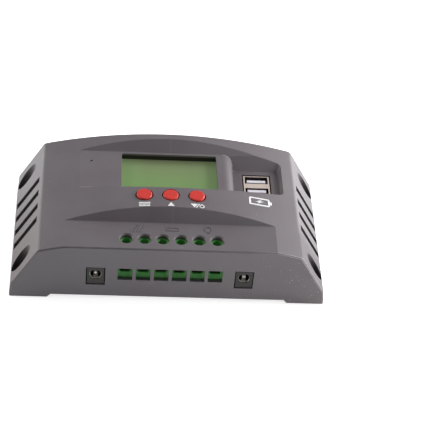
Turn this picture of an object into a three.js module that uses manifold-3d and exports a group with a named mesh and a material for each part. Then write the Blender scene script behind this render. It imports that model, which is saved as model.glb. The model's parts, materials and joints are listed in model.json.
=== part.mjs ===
// A solar charge controller: a moulded cover and base plate around two stacked circuit boards.
// The lower board carries the clamp terminals, the power jacks and the double charging port.
// The upper board carries the display and the switches under the three push buttons.
//
// Frame: millimetres, +X right, +Y away from the terminal face, +Z up.
// The origin is the middle of the feet, on the surface the controller lies on.
import * as THREE from "three";
import { mergeVertices } from "three/addons/utils/BufferGeometryUtils.js";
import Module from "manifold-3d";

const wasm = await Module();
wasm.setup();

// ---- Driving dimensions ------------------------------------------------------------------

const LENGTH = 168; // across the feet
const DEPTH = 88;
const WALL = 2; // moulded wall thickness
const GAP = 0.3; // left between pieces that touch on the real controller

// The top is part of a cylinder that lies front to back.
const CROWN_TOP = 43.1;
const CROWN_RADIUS = 252;
const CROWN_STEPS = 36; // flats that make up the crown outside
const INNER_CROWN_STEPS = 12; // and inside, where nobody looks
// From the shoulder the sides slope down to the rim, which is nearly upright.
const SHOULDER_X = 68.8;
const SHOULDER_FILLET = 1.1; // reach of the rounding each side of the corner
const RIM_X = 83;
const RIM_Z = 9.1;
// Only the ends of the cover reach the ground.
const FOOT_X = 64.5;
const FOOT_RAMP = 2.5;
const FOOT_Z = 2.7;
const EDGE_CHAMFER = 0.6; // round the front and back faces
const RIM_CORNER_RADIUS = 2; // seen from above

// Every hollow in the top is flat-floored, with walls that lean outwards (angles to the floor).
const STEP = { floor: 36.9, front: -DEPTH, back: -23.3, frontLean: 90, backLean: 45 };
const DISPLAY_RECESS = { floor: 38.3, front: 1.9, back: 32.8, frontLean: 55, backLean: 36.5 };
const PORT_POCKET = { floor: 32, front: 6.3, back: 27, frontLean: 55, backLean: 47.5 };
const PORT_POCKET_LEFT = 35.2;
const PORT_POCKET_RIGHT = 61;
const PORT_POCKET_ROUNDING = 5.5; // its left side rolls over into the display recess
const PORT_POCKET_FLARE = 0.36; // how far its right side leans out per millimetre of height
const PORT_POCKET_CORNERS = { floor: 2, above: 7 }; // radii of its rounded right corners
const ROLLED_EDGE_STEPS = 8;
const ABOVE = 50; // a height clear of the whole controller

const WINDOW = { left: -26, right: 26, front: 3, back: 31.2, cornerRadius: 0.8 };
const WINDOW_EDGE = 1.1; // the recess floor is this thin round the window
const PINHOLE = { x: -42.6, y: 24.3, radius: 0.6 };

const BUTTON_XS = [-14, 0, 14];
const BUTTON_Y = -7.6;
const BUTTON_RADIUS = 4.15;
const BUTTON_HOLE_RADIUS = 4.7;
const BUTTON_TOP = 43.55;
const BUTTON_FLANGE_TOP = 39.9;

// Everything along the front face is laid out from a line a little right of the middle.
const ROW_X = 0.45;
// Terminals: one pole every POLE_PITCH, screws worked from the step, wires from the front.
const POLES = 6;
const POLE_PITCH = 9.5;
const POLE_Y = -35.7;
const SCREW_HOLE_RADIUS = 3.2;
const SCREW_HOLE_CHAMFER = 0.7;
const ENTRY_WIDTH = 7.6;
const ENTRY_BOTTOM = 14.7;
const ENTRY_TOP = 22.7;
const CELL_WIDTH = 7.3; // wire space in one pole

// The charging port: two sockets side by side, facing up.
const PORT_CENTRE = { x: 48.4, y: 15.4 };
const PORT_WIDTH = 14.3;
const PORT_DEPTH = 15.6;
const PORT_TOP = 31.7;
const PORT_CLEARANCE = 0.7; // to the opening round it

const JACK_XS = [ROW_X - 39.1, ROW_X + 39.1];
const JACK_WIDTH = 9;
const JACK_CLEARANCE = 0.5; // to the opening round it
const JACK_TOP = 22.4;
const JACK_AXIS_Z = 17.7;

// Upright channels near the corners reach the four wall-mounting screws.
const MOUNT_X = 78;
const MOUNT_Y = 33;
const CHANNEL_RADIUS = 5;
const TAB_THICKNESS = 2.5;
const MOUNT_HOLE_RADIUS = 2.25;
const CORNER_PAD_X = 70.6; // each channel stands on a solid corner pad
const CORNER_PAD_Y = 25.6;

const VENT_PITCH = 10.7; // slots down each sloping side
const VENT_COUNT = 4;
const VENT_WIDTH = 4.3;
const VENT_TOP = 3.4; // measured along the slope from the shoulder
const VENT_BOTTOM = 27.9;

const PLATE_TOP = 4.5; // upper face of the base plate
const MAIN_BOARD_BOTTOM = 9.3;
const MAIN_BOARD_TOP = 10.9;
const MAIN_BOARD = { left: -57, right: 57, front: -41.2, back: 38.5 };
const DISPLAY_BOARD_BOTTOM = 24.4;
const DISPLAY_BOARD_TOP = 26;
const DISPLAY_BOARD = { left: -47, right: 36, front: -13, back: 36 };
const GLASS_TOP = 34;

// Self-tapping screws: four through the base plate, four on the lower board, two on the upper.
const CASE_SCREW = { headRadius: 2.7, headHeight: 1.6, radius: 1.45, length: 15 };
const BOARD_SCREW = { headRadius: 2.6, headHeight: 1.8, radius: 1.3, length: 6 };
const DISPLAY_SCREW = { headRadius: 2.3, headHeight: 1.6, radius: 1.15, length: 8 };
const CASE_SCREW_X = 62;
const CASE_SCREW_Y = 35;
const MAIN_BOARD_SCREWS = [-52, 52].flatMap((x) => [-22, 34].map((y) => [x, y]));
const DISPLAY_SCREWS = [[-43, -9], [33, 32.4]];
const BOSS_WALL = 1.4; // plastic round the pilot hole a screw bites into

const ROUND_STEPS = 36; // sides of a visible round
const HIDDEN_STEPS = 12; // sides of a round inside the casing

// ---- Materials ---------------------------------------------------------------------------

function material(color, roughness, metalness = 0) {
  return new THREE.MeshStandardMaterial({ color, roughness, metalness });
}

const CASING = material(0x777175, 0.55);
const RED_PLASTIC = material(0xd04c44, 0.3);
const GREEN_PLASTIC = material(0x3d8a44, 0.4);
const BLACK_PLASTIC = material(0x1c1a19, 0.45);
const WHITE_PLASTIC = material(0xe8e8ee, 0.4);
const PALE_PLASTIC = material(0xd8d2c0, 0.5);
const GLASS = material(0x77865c, 0.15);
const CIRCUIT_BOARD = material(0x1f5a34, 0.5);
const STEEL = material(0xb9b7b2, 0.35, 1);
const NICKEL = material(0xd7d2c8, 0.25, 1);
const ALUMINIUM = material(0xa9abad, 0.4, 1);
const BRASS = material(0xc3a468, 0.35, 1);
const SLEEVE = material(0x232a3a, 0.35);
const RED_LENS = material(0xa83a32, 0.2);

// ---- Solids ------------------------------------------------------------------------------

function solidOf(geometry) {
  const bare = geometry.clone();
  bare.deleteAttribute("normal");
  bare.deleteAttribute("uv");
  const merged = mergeVertices(bare);
  const mesh = new wasm.Mesh({
    numProp: 3,
    vertProperties: merged.attributes.position.array,
    triVerts: new Uint32Array(merged.index.array),
  });
  return new wasm.Manifold(mesh);
}

function meshOf(name, solid, surface) {
  const { vertProperties, triVerts } = solid.getMesh();
  const geometry = new THREE.BufferGeometry();
  geometry.setAttribute("position", new THREE.BufferAttribute(vertProperties, 3));
  geometry.setIndex(new THREE.BufferAttribute(triVerts, 1));
  geometry.computeVertexNormals();
  const mesh = new THREE.Mesh(geometry, surface);
  mesh.name = name;
  return mesh;
}

function union(solids) {
  return solids.reduce((whole, next) => whole.add(next));
}

function cut(solid, cutters) {
  return cutters.reduce((rest, cutter) => rest.subtract(cutter), solid);
}

function box([left, right], [front, back], [bottom, top]) {
  const geometry = new THREE.BoxGeometry(right - left, back - front, top - bottom);
  geometry.translate((left + right) / 2, (front + back) / 2, (bottom + top) / 2);
  return solidOf(geometry);
}

// A box centred on (x, y) that reaches halfWidth and halfDepth each way.
function block(x, y, halfWidth, halfDepth, heights) {
  return box([x - halfWidth, x + halfWidth], [y - halfDepth, y + halfDepth], heights);
}

function extruded(outline, depth) {
  const shape = new THREE.Shape(outline.map(([u, v]) => new THREE.Vector2(u, v)));
  return new THREE.ExtrudeGeometry(shape, { depth, bevelEnabled: false });
}

// An outline in X and Z, carried from front to back.
function prismAlongY(outline, front, back) {
  return solidOf(extruded(outline, back - front).rotateX(Math.PI / 2).translate(0, back, 0));
}

// An outline in Y and Z, carried from left to right.
function prismAlongX(outline, left, right) {
  const geometry = extruded(outline, right - left).rotateX(Math.PI / 2).rotateZ(Math.PI / 2);
  return solidOf(geometry.translate(left, 0, 0));
}

// An outline in X and Y, carried upwards.
function prismAlongZ(outline, bottom, top) {
  return solidOf(extruded(outline, top - bottom).translate(0, 0, bottom));
}

// A solid skinned over convex rings of [x, y, z] points, all with the same number of points.
// Each ring runs anticlockwise when seen from the ring after it.
function loft(rings) {
  const count = rings[0].length;
  const last = (rings.length - 1) * count;
  const triangles = [];
  for (let corner = 0; corner < last; corner += 1) {
    const next = corner % count === count - 1 ? corner - count + 1 : corner + 1;
    triangles.push(corner, next, next + count, corner, next + count, corner + count);
  }
  for (let i = 1; i < count - 1; i += 1) {
    triangles.push(0, i + 1, i, last, last + i, last + i + 1);
  }
  const geometry = new THREE.BufferGeometry();
  geometry.setAttribute("position", new THREE.Float32BufferAttribute(rings.flat(2), 3));
  geometry.setIndex(triangles);
  return solidOf(geometry);
}

// A round piece about an upright axis; its profile of [radius, z] starts and ends on the axis.
function turned(profile, x, y, steps = HIDDEN_STEPS) {
  const points = profile.map(([radius, z]) => new THREE.Vector2(radius, z));
  const geometry = new THREE.LatheGeometry(points, steps).rotateX(Math.PI / 2);
  return solidOf(geometry.translate(x, y, 0));
}

function uprightRod(x, y, radius, [bottom, top], steps = HIDDEN_STEPS) {
  return turned([[0, bottom], [radius, bottom], [radius, top], [0, top]], x, y, steps);
}

// A rod that lies front to back.
function levelRod(x, z, radius, [front, back], steps = HIDDEN_STEPS) {
  const geometry = new THREE.CylinderGeometry(radius, radius, back - front, steps);
  return solidOf(geometry.translate(x, (front + back) / 2, z));
}

// ---- Outlines ----------------------------------------------------------------------------

function crownZ(x) {
  return CROWN_TOP - CROWN_RADIUS + Math.sqrt(CROWN_RADIUS ** 2 - x ** 2);
}

function pointTowards([x0, z0], [x1, z1], distance) {
  const share = distance / Math.hypot(x1 - x0, z1 - z0);
  return [x0 + (x1 - x0) * share, z0 + (z1 - z0) * share];
}

// The corner replaced by a short curve that starts and ends `reach` away from it.
function roundedCorner(before, corner, after, reach, steps = 4) {
  const [start, end] = [before, after].map((other) => pointTowards(corner, other, reach));
  const [a, b, c] = [start, corner, end].map(([x, z]) => new THREE.Vector2(x, z));
  return new THREE.QuadraticBezierCurve(a, b, c).getPoints(steps).map(({ x, y }) => [x, y]);
}

// Cross-section of the cover, counter-clockwise from its lower right corner.
function coverOutline(steps) {
  const shoulder = [SHOULDER_X, crownZ(SHOULDER_X)];
  const crown = [];
  for (let step = 1; step < steps; step += 1) {
    const x = SHOULDER_X * (1 - (2 * step) / steps);
    crown.push([x, crownZ(x)]);
  }
  const rim = [[LENGTH / 2, 0], [RIM_X, RIM_Z]];
  const right = [...rim, ...roundedCorner(rim[1], shoulder, crown[0], SHOULDER_FILLET)];
  const left = right.map(([x, z]) => [-x, z]).reverse();
  return [...right, ...crown, ...left];
}

// A rectangle whose right-hand corners have one radius and left-hand corners another.
function roundedRectangle([left, right], [front, back], rightRadius, leftRadius = rightRadius) {
  const corners = [[right, front], [right, back], [left, back], [left, front]];
  const radii = [rightRadius, rightRadius, leftRadius, leftRadius];
  return corners.flatMap((corner, i) =>
    roundedCorner(corners.at(i - 1), corner, corners[(i + 1) % corners.length], radii[i]),
  );
}

// A convex counter-clockwise outline with each side moved inwards.
function inset(outline, distance) {
  return outline.map((corner, i) => {
    const before = outline.at(i - 1);
    const after = outline[(i + 1) % outline.length];
    const along = new THREE.Vector2(corner[0] - before[0], corner[1] - before[1]).normalize();
    const onward = new THREE.Vector2(after[0] - corner[0], after[1] - corner[1]).normalize();
    const halfTurn = Math.acos(Math.min(1, along.dot(onward))) / 2;
    const bisector = along.add(onward).normalize();
    const reach = distance / Math.cos(halfTurn);
    return [corner[0] - bisector.y * reach, corner[1] + bisector.x * reach];
  });
}

// ---- Hollows in the cover's top ----------------------------------------------------------

const degrees = THREE.MathUtils.degToRad;

// A channel across the whole length; `wall` moves its floor and sides outwards by that much.
function leaningChannel({ floor, front, back, frontLean, backLean }, wall = 0) {
  const low = floor - wall;
  const nearFoot = front - wall * Math.tan(degrees(frontLean) / 2);
  const farFoot = back + wall * Math.tan(degrees(backLean) / 2);
  const nearTop = nearFoot - (ABOVE - low) / Math.tan(degrees(frontLean));
  const farTop = farFoot + (ABOVE - low) / Math.tan(degrees(backLean));
  const outline = [[nearFoot, low], [farFoot, low], [farTop, ABOVE], [nearTop, ABOVE]];
  return prismAlongX(outline, -LENGTH, LENGTH);
}

// The pocket's right part, with rounded corners that widen upwards.
function portPocketCorners() {
  const { floor, front, back, frontLean, backLean } = PORT_POCKET;
  const rise = ABOVE - floor;
  const above = [front - rise / Math.tan(degrees(frontLean)), back + rise / Math.tan(degrees(backLean))];
  const left = PORT_POCKET_LEFT;
  const right = PORT_POCKET_RIGHT;
  const radii = PORT_POCKET_CORNERS;
  const lower = roundedRectangle([left, right], [front, back], radii.floor, radii.floor);
  const upper = roundedRectangle([left, right + rise * PORT_POCKET_FLARE], above, radii.above, radii.floor);
  return loft([lower.map(([x, y]) => [x, y, floor]), upper.map(([x, y]) => [x, y, ABOVE])]);
}

function portPocket(wall = 0) {
  const floor = PORT_POCKET.floor - wall;
  const left = PORT_POCKET_LEFT - wall;
  const right = PORT_POCKET_RIGHT + wall;
  const radius = PORT_POCKET_ROUNDING - wall;
  const recessFloor = DISPLAY_RECESS.floor - wall;
  const corner = [left, recessFloor];
  const before = [left - radius, recessFloor];
  const rolledEdge = roundedCorner(before, corner, [left, floor], radius, ROLLED_EDGE_STEPS);
  const farRight = right + (ABOVE - floor) * PORT_POCKET_FLARE;
  const outline = [[left - radius, ABOVE], ...rolledEdge, [left, floor], [right, floor], [farRight, ABOVE]];
  return leaningChannel(PORT_POCKET, wall).intersect(prismAlongY(outline, -DEPTH, DEPTH));
}

function topHollows() {
  const leftPart = box([0, PORT_CENTRE.x], [-DEPTH, DEPTH], [0, ABOVE]);
  const pocket = portPocket().intersect(leftPart).add(portPocketCorners());
  return [leaningChannel(STEP), leaningChannel(DISPLAY_RECESS), pocket];
}

// The same hollows grown by the wall, which shape the cover's underside.
function underHollows() {
  return [leaningChannel(STEP, WALL), leaningChannel(DISPLAY_RECESS, WALL), portPocket(WALL)];
}

// ---- Cover -------------------------------------------------------------------------------

const CORNERS = [-1, 1].flatMap((side) => [-1, 1].map((end) => [side, end]));
const poleXs = Array.from({ length: POLES }, (_, i) => ROW_X + (i - (POLES - 1) / 2) * POLE_PITCH);

function coverInside() {
  const inner = inset(coverOutline(INNER_CROWN_STEPS), WALL);
  const openBelow = inner.map(([x, z]) => [x, z < WALL + GAP ? -WALL : z]);
  const hollow = prismAlongY(openBelow, -DEPTH / 2 + WALL, DEPTH / 2 - WALL);
  return cut(hollow, underHollows());
}

// The cover as one block, with its front and back edges chamfered and the rim's corners rounded.
function coverBlock() {
  const outline = coverOutline(CROWN_STEPS);
  const face = inset(outline, EDGE_CHAMFER);
  const ring = (points, y) => points.map(([x, z]) => [x, y, z]);
  const end = DEPTH / 2;
  const block = loft([
    ring(face, end),
    ring(outline, end - EDGE_CHAMFER),
    ring(outline, EDGE_CHAMFER - end),
    ring(face, -end),
  ]);
  const plan = roundedRectangle([-LENGTH / 2, LENGTH / 2], [-end, end], RIM_CORNER_RADIUS);
  return block.intersect(prismAlongZ(plan, -WALL, ABOVE));
}

// The wedge that chamfers the step's front edge.
function stepEdgeChamfer() {
  const ahead = -DEPTH / 2 - WALL;
  const behind = -DEPTH / 2 + EDGE_CHAMFER + WALL;
  const below = STEP.floor - EDGE_CHAMFER - WALL;
  const above = STEP.floor + WALL;
  return prismAlongX([[ahead, below], [behind, above], [ahead, above]], -LENGTH, LENGTH);
}

function cornerPads() {
  return CORNERS.map(([side, end]) => {
    const xs = [side * CORNER_PAD_X, (side * LENGTH) / 2].sort((a, b) => a - b);
    const ys = [end * CORNER_PAD_Y, (end * DEPTH) / 2].sort((a, b) => a - b);
    return box(xs, ys, [0, TAB_THICKNESS]);
  });
}

function channelTubes() {
  const radius = CHANNEL_RADIUS + WALL;
  return CORNERS.map(([side, end]) => uprightRod(side * MOUNT_X, end * MOUNT_Y, radius, [0, ABOVE]));
}

function channelCutters() {
  return CORNERS.flatMap(([side, end]) => {
    const at = [side * MOUNT_X, end * MOUNT_Y];
    const channel = uprightRod(...at, CHANNEL_RADIUS, [TAB_THICKNESS, ABOVE], ROUND_STEPS);
    return [channel, uprightRod(...at, MOUNT_HOLE_RADIUS, [-WALL, ABOVE], ROUND_STEPS)];
  });
}

const caseScrewPlaces = CORNERS.map(([side, end]) => [side * CASE_SCREW_X, end * CASE_SCREW_Y]);
const SEAT_TOP = PLATE_TOP + 2 * WALL; // where the base plate's screw seats meet the cover's bosses

function pilotRadius(screw) {
  return screw.radius + GAP;
}

function caseBosses() {
  const radius = pilotRadius(CASE_SCREW) + BOSS_WALL;
  return caseScrewPlaces.map(([x, y]) => uprightRod(x, y, radius, [SEAT_TOP, ABOVE]));
}

function displayBosses() {
  const radius = pilotRadius(DISPLAY_SCREW) + BOSS_WALL;
  return DISPLAY_SCREWS.map(([x, y]) => uprightRod(x, y, radius, [DISPLAY_BOARD_TOP + GAP, ABOVE]));
}

// Blind holes that the case and display screws bite into.
function pilotHoles() {
  const caseDepth = [0, FOOT_Z + CASE_SCREW.headHeight + CASE_SCREW.length + 2 * GAP];
  const displayDepth = [DISPLAY_BOARD_TOP, DISPLAY_BOARD_BOTTOM + DISPLAY_SCREW.length + GAP];
  return [
    ...caseScrewPlaces.map(([x, y]) => uprightRod(x, y, pilotRadius(CASE_SCREW), caseDepth)),
    ...DISPLAY_SCREWS.map(([x, y]) => uprightRod(x, y, pilotRadius(DISPLAY_SCREW), displayDepth)),
  ];
}

function footRelief() {
  const inner = FOOT_X - FOOT_RAMP;
  const right = [[FOOT_X, -WALL], [FOOT_X, 0], [inner, FOOT_Z]];
  const left = right.map(([x, z]) => [-x, z]).reverse();
  return prismAlongY([...right, ...left], -DEPTH, DEPTH);
}

// Slots down one sloping side, cut square to the slope.
function ventSlots(side) {
  const shoulder = [SHOULDER_X, crownZ(SHOULDER_X)];
  const foot = [RIM_X, RIM_Z];
  const [top, bottom] = [VENT_TOP, VENT_BOTTOM].map((distance) => pointTowards(shoulder, foot, distance));
  const length = Math.hypot(foot[0] - shoulder[0], foot[1] - shoulder[1]);
  const outwards = [(shoulder[1] - foot[1]) / length, (foot[0] - shoulder[0]) / length];
  const moved = ([x, z], by) => [side * (x + outwards[0] * by), z + outwards[1] * by];
  const outline = [moved(top, WALL), moved(bottom, WALL), moved(bottom, -2 * WALL), moved(top, -2 * WALL)];
  return Array.from({ length: VENT_COUNT }, (_, i) => {
    const y = (i - (VENT_COUNT - 1) / 2) * VENT_PITCH;
    return prismAlongY(outline, y - VENT_WIDTH / 2, y + VENT_WIDTH / 2);
  });
}

function topOpenings() {
  const { left, right, front, back, cornerRadius } = WINDOW;
  const window = prismAlongZ(roundedRectangle([left, right], [front, back], cornerRadius), PORT_TOP, ABOVE);
  const bezelRoom = box(...bezelSides(GAP), [PORT_TOP, DISPLAY_RECESS.floor - WINDOW_EDGE]);
  const pinhole = uprightRod(PINHOLE.x, PINHOLE.y, PINHOLE.radius, [PORT_TOP, ABOVE]);
  const halfPort = [PORT_WIDTH / 2 + PORT_CLEARANCE, PORT_DEPTH / 2 + PORT_CLEARANCE];
  const port = block(PORT_CENTRE.x, PORT_CENTRE.y, ...halfPort, [PORT_TOP - 2 * WALL, ABOVE]);
  const buttons = BUTTON_XS.map((x) =>
    uprightRod(x, BUTTON_Y, BUTTON_HOLE_RADIUS, [PORT_TOP, ABOVE], ROUND_STEPS),
  );
  return [window, bezelRoom, pinhole, port, ...buttons];
}

function screwdriverHole(x) {
  const mouth = SCREW_HOLE_RADIUS + SCREW_HOLE_CHAMFER;
  const profile = [
    [0, STEP.floor - 2 * WALL],
    [SCREW_HOLE_RADIUS, STEP.floor - 2 * WALL],
    [SCREW_HOLE_RADIUS, STEP.floor - SCREW_HOLE_CHAMFER],
    [mouth, STEP.floor],
    [mouth, STEP.floor + WALL],
    [0, STEP.floor + WALL],
  ];
  return turned(profile, x, POLE_Y, ROUND_STEPS);
}

function frontOpenings() {
  const through = [-DEPTH, -DEPTH / 2 + 2 * WALL];
  const halfEntry = ENTRY_WIDTH / 2;
  const wires = poleXs.map((x) => box([x - halfEntry, x + halfEntry], through, [ENTRY_BOTTOM, ENTRY_TOP]));
  const halfJack = JACK_WIDTH / 2 + JACK_CLEARANCE;
  const jacks = JACK_XS.map((x) =>
    box([x - halfJack, x + halfJack], through, [MAIN_BOARD_TOP - GAP, JACK_TOP + JACK_CLEARANCE]),
  );
  return [...wires, ...jacks];
}

function topCover() {
  const outer = coverBlock();
  const fittings = union([...cornerPads(), ...channelTubes(), ...caseBosses(), ...displayBosses()]);
  const filled = outer.subtract(coverInside()).add(fittings).intersect(outer);
  const solid = cut(filled, [
    ...topHollows(),
    stepEdgeChamfer(),
    footRelief(),
    ...ventSlots(-1),
    ...ventSlots(1),
    ...channelCutters(),
    ...pilotHoles(),
    ...topOpenings(),
    ...poleXs.map(screwdriverHole),
    ...frontOpenings(),
  ]);
  return meshOf("top_cover", solid, CASING);
}

// ---- Fasteners ---------------------------------------------------------------------------

// A pan head with a cross recess; `up` is 1 when the head is above the shank, -1 when below.
function crossScrew(name, [x, y], headZ, up, { headRadius, headHeight, radius, length }) {
  const level = (distance) => headZ - up * distance;
  const crown = 0.7 * headRadius;
  const profile = [
    [0, level(0)],
    [crown, level(0)],
    [headRadius, level(headHeight / 2)],
    [headRadius, level(headHeight)],
    [radius, level(headHeight)],
    [radius, level(headHeight + length)],
    [0, level(headHeight + length)],
  ];
  const body = turned(up > 0 ? profile.reverse() : profile, x, y);
  const depth = [level(headHeight / 2), level(-WALL)].sort((a, b) => a - b);
  const arms = [[headRadius / 2, GAP], [GAP, headRadius / 2]];
  const recess = arms.map(([halfWidth, halfDepth]) => block(x, y, halfWidth, halfDepth, depth));
  return meshOf(name, cut(body, recess), STEEL);
}

function caseScrews() {
  const headZ = FOOT_Z + GAP;
  return caseScrewPlaces.map((place, i) => crossScrew(`case_screw_${i + 1}`, place, headZ, -1, CASE_SCREW));
}

function boardScrews() {
  const headZ = MAIN_BOARD_TOP + GAP + BOARD_SCREW.headHeight;
  return MAIN_BOARD_SCREWS.map((place, i) =>
    crossScrew(`board_screw_${i + 1}`, place, headZ, 1, BOARD_SCREW),
  );
}

function displayScrews() {
  const headZ = DISPLAY_BOARD_BOTTOM - GAP - DISPLAY_SCREW.headHeight;
  return DISPLAY_SCREWS.map((place, i) =>
    crossScrew(`display_screw_${i + 1}`, place, headZ, -1, DISPLAY_SCREW),
  );
}

// ---- Base and boards ---------------------------------------------------------------------

const HEAD_HOLE_RADIUS = CASE_SCREW.headRadius + GAP;
const SHANK_HOLE_RADIUS = CASE_SCREW.radius + GAP;
const SEAT_RADIUS = HEAD_HOLE_RADIUS + BOSS_WALL;
const STANDOFF_RADIUS = pilotRadius(BOARD_SCREW) + BOSS_WALL;
const BASE_VENTS = { count: 9, pitch: 7, width: 2.5, y: 6, halfLength: 11 };

function basePlate() {
  const halfLength = RIM_X - WALL - 2 * GAP;
  const halfDepth = DEPTH / 2 - WALL - GAP;
  const plate = box([-halfLength, halfLength], [-halfDepth, halfDepth], [FOOT_Z, PLATE_TOP]);
  const seats = caseScrewPlaces.map(([x, y]) => uprightRod(x, y, SEAT_RADIUS, [FOOT_Z, SEAT_TOP - GAP]));
  const standoffs = MAIN_BOARD_SCREWS.map(([x, y]) =>
    uprightRod(x, y, STANDOFF_RADIUS, [FOOT_Z, MAIN_BOARD_BOTTOM - GAP]),
  );
  return meshOf("base_plate", cut(union([plate, ...seats, ...standoffs]), baseCuts()), CASING);
}

function baseCuts() {
  const notchWidth = LENGTH / 2 - CORNER_PAD_X + GAP;
  const notchDepth = DEPTH / 2 - CORNER_PAD_Y + GAP;
  const notchHeights = [0, PLATE_TOP + WALL];
  const halfVent = BASE_VENTS.width / 2;
  return [
    ...CORNERS.map(([side, end]) =>
      block((side * LENGTH) / 2, (end * DEPTH) / 2, notchWidth, notchDepth, notchHeights),
    ),
    ...caseScrewPlaces.map(([x, y]) =>
      uprightRod(x, y, HEAD_HOLE_RADIUS, [0, FOOT_Z + 2 * GAP + CASE_SCREW.headHeight]),
    ),
    ...caseScrewPlaces.map(([x, y]) => uprightRod(x, y, SHANK_HOLE_RADIUS, [0, SEAT_TOP + WALL])),
    ...MAIN_BOARD_SCREWS.map(([x, y]) =>
      uprightRod(x, y, pilotRadius(BOARD_SCREW), [PLATE_TOP, MAIN_BOARD_TOP]),
    ),
    ...Array.from({ length: BASE_VENTS.count }, (_, i) => {
      const x = (i - (BASE_VENTS.count - 1) / 2) * BASE_VENTS.pitch;
      return block(x, BASE_VENTS.y, halfVent, BASE_VENTS.halfLength, notchHeights);
    }),
  ];
}

function mainBoard() {
  const { left, right, front, back } = MAIN_BOARD;
  const board = box([left, right], [front, back], [MAIN_BOARD_BOTTOM, MAIN_BOARD_TOP]);
  const through = [MAIN_BOARD_BOTTOM - WALL, MAIN_BOARD_TOP + WALL];
  const slotSize = [CONTACT_HALF_WIDTH + GAP, CONTACT_THICKNESS / 2 + GAP];
  const bossClearance = pilotRadius(CASE_SCREW) + BOSS_WALL + WALL;
  const holes = [
    ...MAIN_BOARD_SCREWS.map(([x, y]) => uprightRod(x, y, pilotRadius(BOARD_SCREW), through)),
    ...poleXs.map((x) => block(x, CONTACT_TAIL_Y, ...slotSize, through)),
    ...caseScrewPlaces.map(([x, y]) => uprightRod(x, y, bossClearance, through)),
  ];
  return meshOf("main_board", cut(board, holes), CIRCUIT_BOARD);
}

function displayBoard() {
  const { left, right, front, back } = DISPLAY_BOARD;
  const board = box([left, right], [front, back], [DISPLAY_BOARD_BOTTOM, DISPLAY_BOARD_TOP]);
  const through = [DISPLAY_BOARD_BOTTOM - WALL, DISPLAY_BOARD_TOP + WALL];
  const holes = DISPLAY_SCREWS.map(([x, y]) => uprightRod(x, y, pilotRadius(DISPLAY_SCREW), through));
  return meshOf("display_board", cut(board, holes), CIRCUIT_BOARD);
}

// The strip of pins that joins the two boards.
const CONNECTOR = { y: 33.6, halfLength: 11.5, halfDepth: 1.8 };

function boardConnector() {
  const heights = [MAIN_BOARD_TOP + GAP, DISPLAY_BOARD_BOTTOM - GAP];
  const strip = block(0, CONNECTOR.y, CONNECTOR.halfLength, CONNECTOR.halfDepth, heights);
  return meshOf("board_connector", strip, BLACK_PLASTIC);
}

// ---- Display -----------------------------------------------------------------------------

const LCD = { left: -27.9, right: 27.9, front: 1.5, back: 33.8 };
const LCD_BACKLIGHT_TOP = 31;
const BEZEL_WALL = 1.5;

function lcdSides(grow) {
  return [[LCD.left - grow, LCD.right + grow], [LCD.front - grow, LCD.back + grow]];
}

function bezelSides(grow) {
  return lcdSides(GAP + BEZEL_WALL + grow);
}

function displayPieces() {
  const stand = DISPLAY_BOARD_TOP + GAP;
  const glass = box(...lcdSides(0), [LCD_BACKLIGHT_TOP + GAP, GLASS_TOP]);
  const backlight = box(...lcdSides(0), [stand, LCD_BACKLIGHT_TOP]);
  const bezelTop = DISPLAY_RECESS.floor - WINDOW_EDGE - GAP;
  const seat = box(...lcdSides(GAP), [DISPLAY_BOARD_TOP, GLASS_TOP + GAP]);
  const opening = box(
    [WINDOW.left - GAP, WINDOW.right + GAP], [WINDOW.front - GAP, WINDOW.back + GAP], [stand, ABOVE],
  );
  const bezel = cut(box(...bezelSides(0), [stand, bezelTop]), [seat, opening]);
  return [
    meshOf("lcd_glass", glass, GLASS),
    meshOf("lcd_backlight", backlight, WHITE_PLASTIC),
    meshOf("lcd_bezel", bezel, BLACK_PLASTIC),
  ];
}

// A small lamp under the pinhole: a holder with a narrower lens on it.
const LED = { holderRadius: 2.2, holderTop: 30.5, lensRadius: 1.5, lensTop: 35.5, lensDome: 1.5 };

function indicatorLed() {
  const stand = DISPLAY_BOARD_TOP + GAP;
  const profile = [
    [0, stand],
    [LED.holderRadius, stand],
    [LED.holderRadius, LED.holderTop],
    [LED.lensRadius, LED.holderTop],
    [LED.lensRadius, LED.lensTop - LED.lensDome],
    [LED.lensRadius * 0.7, LED.lensTop - LED.lensDome * 0.3],
    [0, LED.lensTop],
  ];
  return meshOf("indicator_led", turned(profile, PINHOLE.x, PINHOLE.y), RED_LENS);
}

// ---- Push buttons ------------------------------------------------------------------------

const BUTTON_FLANGE_RADIUS = 5.2;
const BUTTON_FLANGE_THICKNESS = 1;
const BUTTON_STEM_RADIUS = 1.9;
const BUTTON_BEVEL = 0.6;
const PLUNGER_TOP = 32;
const PLUNGER_RADIUS = 1.7;
const SWITCH_HALF_WIDTH = 3;
const SWITCH_TOP = 29.8;
const SWITCH_FLOOR = 1.2;
const PLUNGER_LIFT = 1; // free way under the plunger

function buttonCap(x, i) {
  const flangeBottom = BUTTON_FLANGE_TOP - BUTTON_FLANGE_THICKNESS;
  const stemBottom = PLUNGER_TOP + GAP;
  const profile = [
    [0, stemBottom],
    [BUTTON_STEM_RADIUS, stemBottom],
    [BUTTON_STEM_RADIUS, flangeBottom],
    [BUTTON_FLANGE_RADIUS, flangeBottom],
    [BUTTON_FLANGE_RADIUS, BUTTON_FLANGE_TOP],
    [BUTTON_RADIUS, BUTTON_FLANGE_TOP],
    [BUTTON_RADIUS, BUTTON_TOP - BUTTON_BEVEL],
    [BUTTON_RADIUS - BUTTON_BEVEL * 0.3, BUTTON_TOP - BUTTON_BEVEL * 0.3],
    [BUTTON_RADIUS - BUTTON_BEVEL, BUTTON_TOP],
    [0, BUTTON_TOP],
  ];
  return meshOf(`button_cap_${i + 1}`, turned(profile, x, BUTTON_Y, ROUND_STEPS), RED_PLASTIC);
}

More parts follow.
